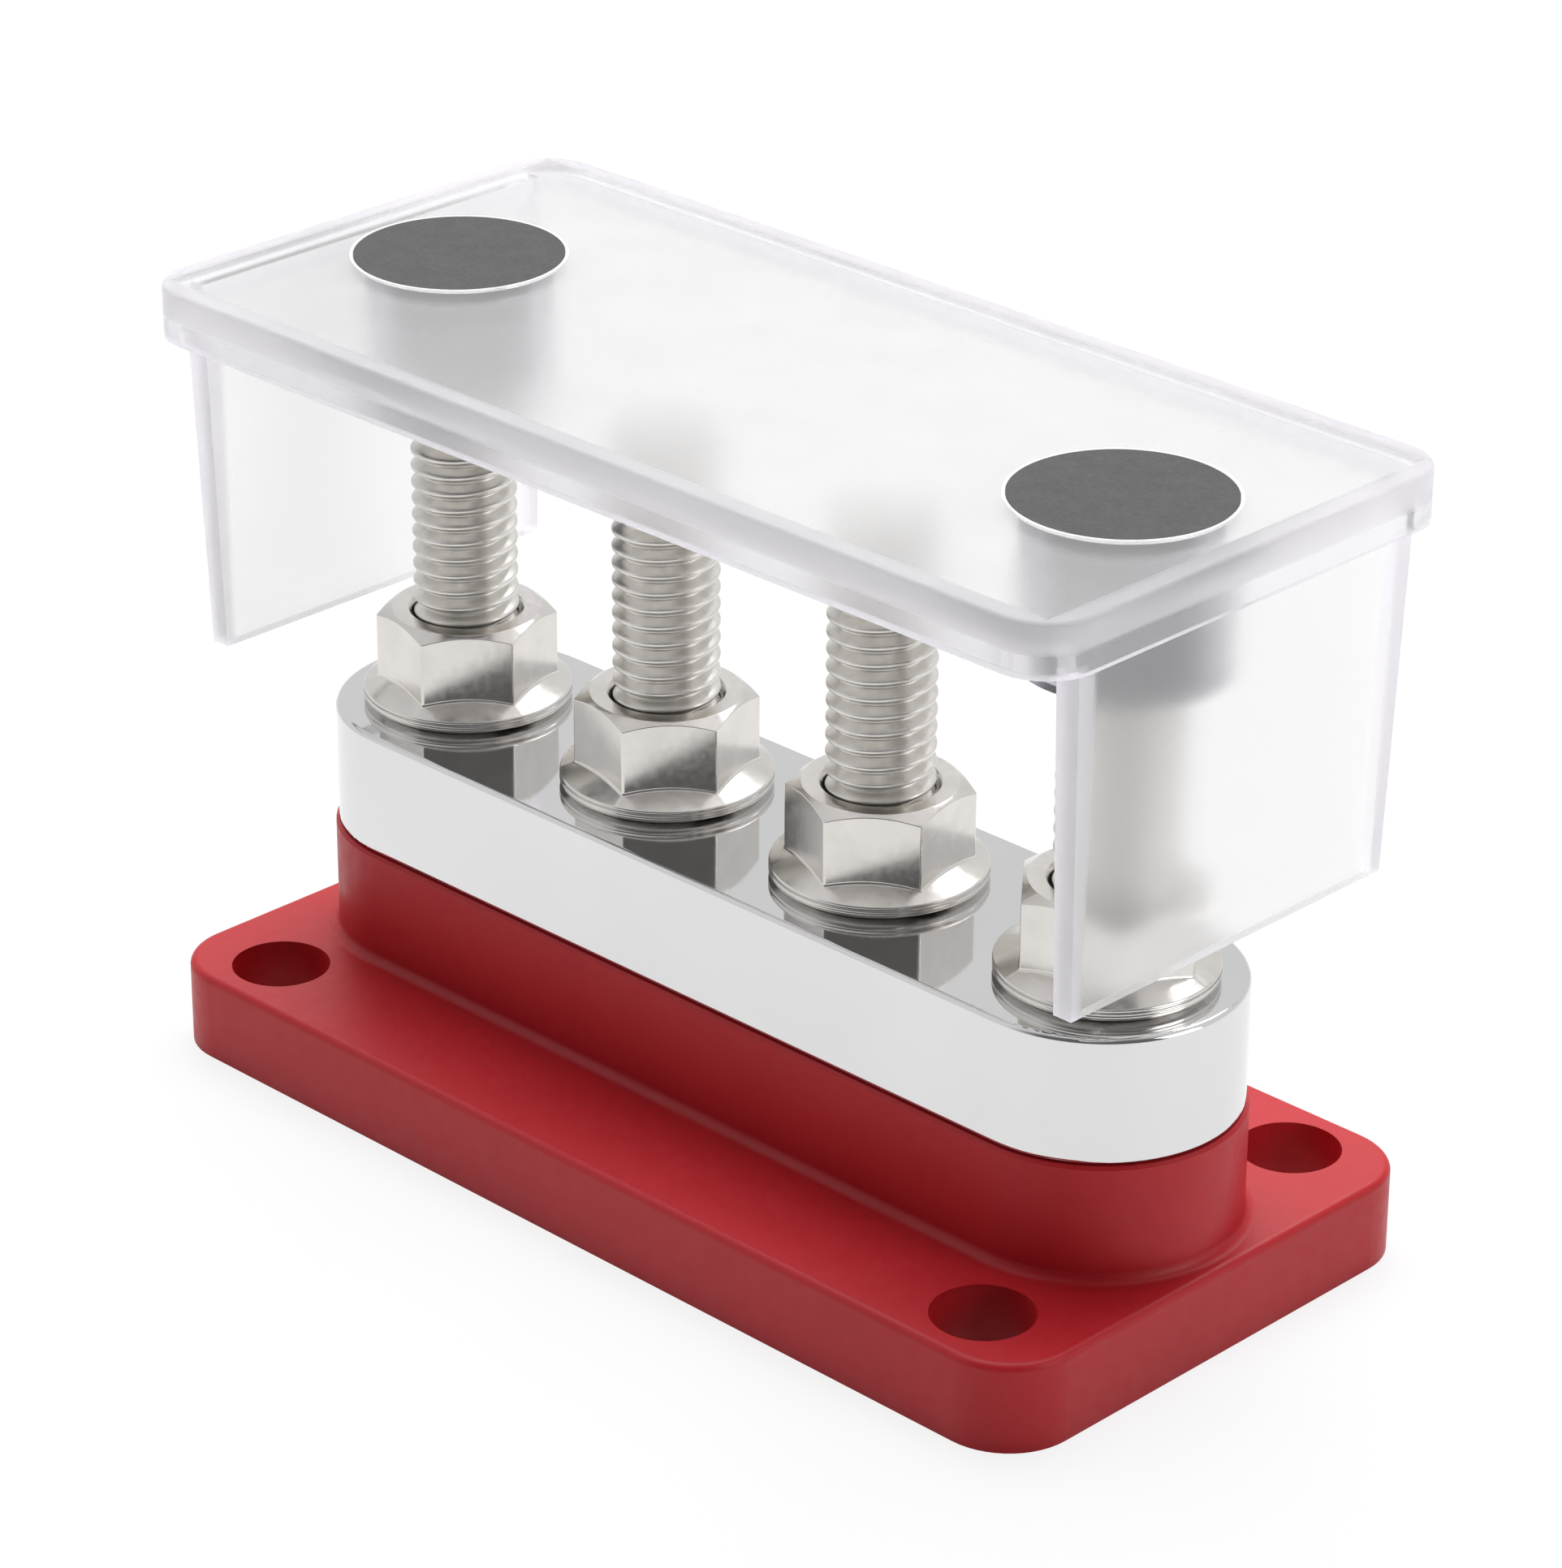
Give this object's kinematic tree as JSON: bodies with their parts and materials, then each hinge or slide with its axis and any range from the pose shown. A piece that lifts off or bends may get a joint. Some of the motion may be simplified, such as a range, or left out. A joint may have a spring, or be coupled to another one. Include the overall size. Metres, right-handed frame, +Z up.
{
  "type": "power distribution block",
  "caption": "Stud-type power distribution block: threaded posts with flange nuts on a plated bus bar, red moulded base, clear lift-off cover.",
  "frame": {"origin": "centre of the base's underside", "axes": "+X along the row of studs, +Y across the block, +Z up along the studs"},
  "size_m": [0.107, 0.052, 0.0735],
  "materials": {
    "red_moulding": "semi-matt moulded",
    "plated_bar": "bright plated",
    "stud_steel": "rolled thread, bright",
    "nut_steel": "polished",
    "clear_cover": "clear, slightly milky",
    "plug_rubber": "matt"
  },
  "bodies": {
    "block": {"base": "red_moulding", "bus_bar": "plated_bar", "stud_1": "stud_steel", "stud_2": "stud_steel", "stud_3": "stud_steel", "stud_4": "stud_steel"},
    "nut_1": {"nut_1": "nut_steel"},
    "nut_2": {"nut_2": "nut_steel"},
    "nut_3": {"nut_3": "nut_steel"},
    "nut_4": {"nut_4": "nut_steel"},
    "cover": {"cover": "clear_cover", "plug_1": "plug_rubber", "plug_2": "plug_rubber"}
  },
  "joints": [
    {"name": "cover_lift", "type": "slide", "parent": "block", "child": "cover", "axis": [0, 0, 1], "range_m": [-0.0071, 0.03]},
    {"name": "nut_1_turn", "type": "hinge", "parent": "block", "child": "nut_1", "pos_m": [-0.039, 0, 0.0351], "axis": [0, 0, 1], "continuous": true},
    {"name": "nut_2_turn", "type": "hinge", "parent": "block", "child": "nut_2", "pos_m": [-0.013, 0, 0.0351], "axis": [0, 0, 1], "continuous": true},
    {"name": "nut_3_turn", "type": "hinge", "parent": "block", "child": "nut_3", "pos_m": [0.013, 0, 0.0351], "axis": [0, 0, 1], "continuous": true},
    {"name": "nut_4_turn", "type": "hinge", "parent": "block", "child": "nut_4", "pos_m": [0.039, 0, 0.0351], "axis": [0, 0, 1], "continuous": true}
  ]
}
